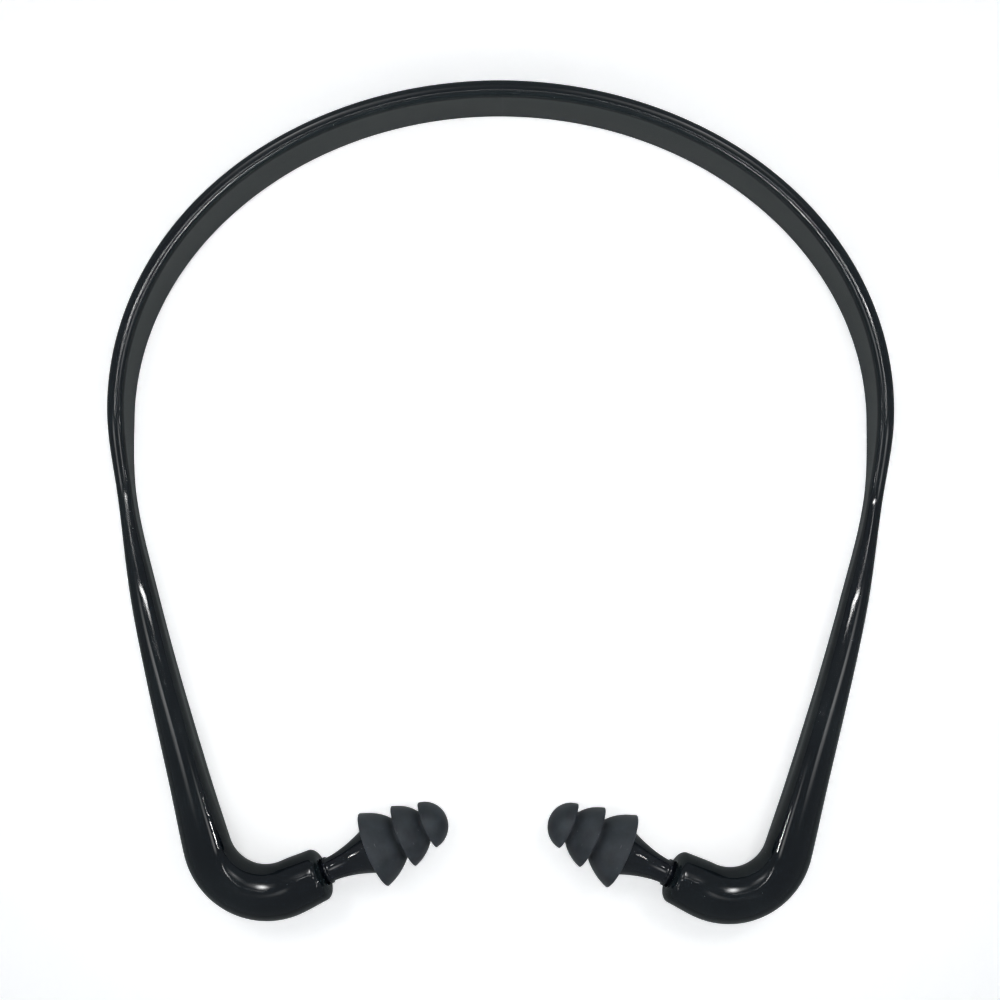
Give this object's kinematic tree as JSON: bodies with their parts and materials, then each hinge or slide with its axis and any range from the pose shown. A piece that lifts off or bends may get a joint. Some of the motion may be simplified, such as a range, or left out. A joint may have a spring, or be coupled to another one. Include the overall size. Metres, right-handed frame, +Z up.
{
  "type": "banded hearing protector",
  "caption": "Springy U-shaped headband with turned-in elbow sockets that hold swivelling stems and pull-off soft stacked-flange ear tips, worn to close the ear canals against noise.",
  "frame": {"origin": "middle of the footprint of the protector as it lies on a table, on the table's surface", "axes": "+Z up out of the table, square to the band's plane; +Y from the ear tips to the crown of the band; +X across the band, to the right-hand arm"},
  "size_m": [0.1508, 0.1616, 0.015],
  "materials": {
    "band_plastic": "glossy moulded black with a faint blue-green cast",
    "stem_plastic": "glossy moulded black",
    "tip_silicone": "matt slate-grey silicone"
  },
  "bodies": {
    "band": {"band_crown": "band_plastic"},
    "arm_left": {"band_arm_left": "band_plastic"},
    "arm_right": {"band_arm_right": "band_plastic"},
    "plug_left": {"stem_left": "stem_plastic"},
    "plug_right": {"stem_right": "stem_plastic"},
    "tip_left": {"ear_tip_left": "tip_silicone"},
    "tip_right": {"ear_tip_right": "tip_silicone"}
  },
  "joints": [
    {"name": "flex_left", "type": "hinge", "parent": "band", "child": "arm_left", "pos_m": [-0.04631, 0.06752, 0.0075], "axis": [0, 0, -1], "range_deg": [-3, 25], "stiffness_Nm_per_rad": 1.1},
    {"name": "flex_right", "type": "hinge", "parent": "band", "child": "arm_right", "pos_m": [0.04631, 0.06752, 0.0075], "axis": [0, 0, 1], "range_deg": [-3, 25], "stiffness_Nm_per_rad": 1.1},
    {"name": "swivel_left", "type": "hinge", "parent": "arm_left", "child": "plug_left", "pos_m": [-0.03387, -0.07142, 0.0075], "axis": [0.9063, 0.4226, 0], "continuous": true},
    {"name": "swivel_right", "type": "hinge", "parent": "arm_right", "child": "plug_right", "pos_m": [0.03387, -0.07142, 0.0075], "axis": [-0.9063, 0.4226, 0], "continuous": true},
    {"name": "tip_pull_left", "type": "slide", "parent": "plug_left", "child": "tip_left", "axis": [0.9063, 0.4226, 0], "range_m": [0, 0.012]},
    {"name": "tip_pull_right", "type": "slide", "parent": "plug_right", "child": "tip_right", "axis": [-0.9063, 0.4226, 0], "range_m": [0, 0.012]}
  ]
}
